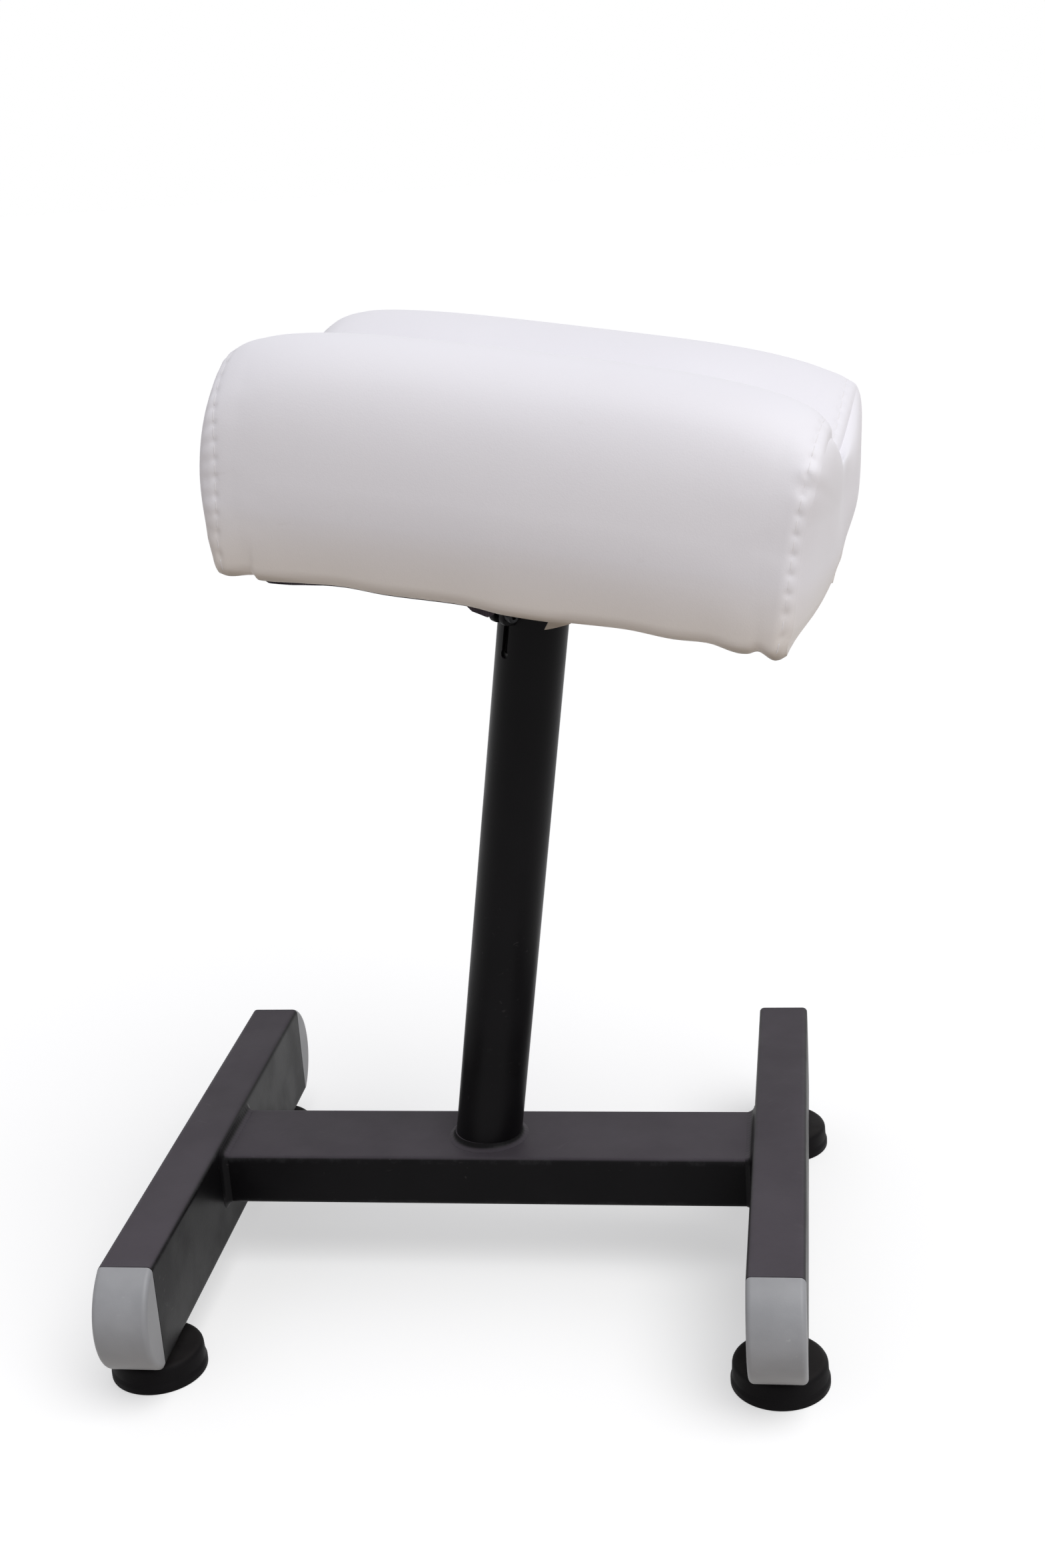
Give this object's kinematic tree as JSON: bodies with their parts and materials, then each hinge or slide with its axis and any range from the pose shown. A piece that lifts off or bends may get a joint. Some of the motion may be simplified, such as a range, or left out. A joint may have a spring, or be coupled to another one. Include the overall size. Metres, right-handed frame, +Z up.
{
  "type": "pedicure footrest",
  "caption": "Pedicure footrest: welded tube base on levelling feet, a leaning post with a clamped sliding stem, and a swivelling vinyl cushion with a channel for the foot.",
  "frame": {"origin": "on the floor under the feet, at the middle of the part's box", "axes": "+Z up; +X along the crossbar, towards the leg that the post leans to; -Y towards the front, where the picture was taken"},
  "size_m": [0.4144, 0.354, 0.5399],
  "materials": {
    "black_paint": "satin black powder coat, a little scuffed along the edges",
    "grey_plastic": "moulded light grey polyethylene, fine satin texture",
    "black_rubber": "matt black moulded rubber",
    "black_plastic": "plain black moulded plastic",
    "zinc": "bright zinc plate",
    "plywood": "raw plywood",
    "foam": "cut upholstery foam",
    "white_vinyl": "white upholstery vinyl, fine grain, satin",
    "lining_cloth": "dark non-woven lining"
  },
  "bodies": {
    "base": {"left_leg": "black_paint", "right_leg": "black_paint", "crossbar": "black_paint", "post": "black_paint", "left_weld": "black_paint", "right_weld": "black_paint", "post_weld": "black_paint", "cap_left_front": "grey_plastic", "cap_left_rear": "grey_plastic", "cap_right_front": "grey_plastic", "cap_right_rear": "grey_plastic", "thread_insert_left_front": "zinc", "thread_insert_left_rear": "zinc", "thread_insert_right_front": "zinc", "thread_insert_right_rear": "zinc", "lock_nut_left_front": "zinc", "lock_nut_left_rear": "zinc", "lock_nut_right_front": "zinc", "lock_nut_right_rear": "zinc", "post_bush": "black_plastic", "clamp_lug_left": "black_paint", "clamp_lug_right": "black_paint", "clamp_nut": "zinc"},
    "clamp_screw": {"clamp_screw": "zinc"},
    "glide": {"stem_plug": "black_plastic"},
    "head": {"stem": "black_paint", "stem_weld": "black_paint", "mounting_plate": "black_paint", "plate_screw_1": "zinc", "plate_screw_2": "zinc", "plate_screw_3": "zinc", "plate_screw_4": "zinc", "tee_nut_1": "zinc", "tee_nut_2": "zinc", "tee_nut_3": "zinc", "tee_nut_4": "zinc", "seat_board": "plywood", "underside_lining": "lining_cloth", "foam_core": "foam", "cover_wrap": "white_vinyl", "cover_end_left": "white_vinyl", "cover_end_right": "white_vinyl"},
    "foot_left_front": {"foot_pad_left_front": "black_rubber", "foot_stud_left_front": "zinc"},
    "foot_left_rear": {"foot_pad_left_rear": "black_rubber", "foot_stud_left_rear": "zinc"},
    "foot_right_front": {"foot_pad_right_front": "black_rubber", "foot_stud_right_front": "zinc"},
    "foot_right_rear": {"foot_pad_right_rear": "black_rubber", "foot_stud_right_rear": "zinc"}
  },
  "joints": [
    {"name": "height", "type": "slide", "parent": "base", "child": "glide", "axis": [0.1495, 0, 0.9888], "range_m": [0, 0.15]},
    {"name": "swivel", "type": "hinge", "parent": "glide", "child": "head", "pos_m": [-0.01316, 0, 0.0747], "axis": [0.1495, 0, 0.9888], "continuous": true},
    {"name": "clamp_screw_turn", "type": "hinge", "parent": "base", "child": "clamp_screw", "pos_m": [0.01892, -0.01762, 0.38919], "axis": [-0.7462, 0.6561, 0.1129], "range_deg": [-360, 0]},
    {"name": "level_left_front", "type": "slide", "parent": "base", "child": "foot_left_front", "axis": [0, 0, -1], "range_m": [0, 0.012]},
    {"name": "level_left_rear", "type": "slide", "parent": "base", "child": "foot_left_rear", "axis": [0, 0, -1], "range_m": [0, 0.012]},
    {"name": "level_right_front", "type": "slide", "parent": "base", "child": "foot_right_front", "axis": [0, 0, -1], "range_m": [0, 0.012]},
    {"name": "level_right_rear", "type": "slide", "parent": "base", "child": "foot_right_rear", "axis": [0, 0, -1], "range_m": [0, 0.012]}
  ]
}
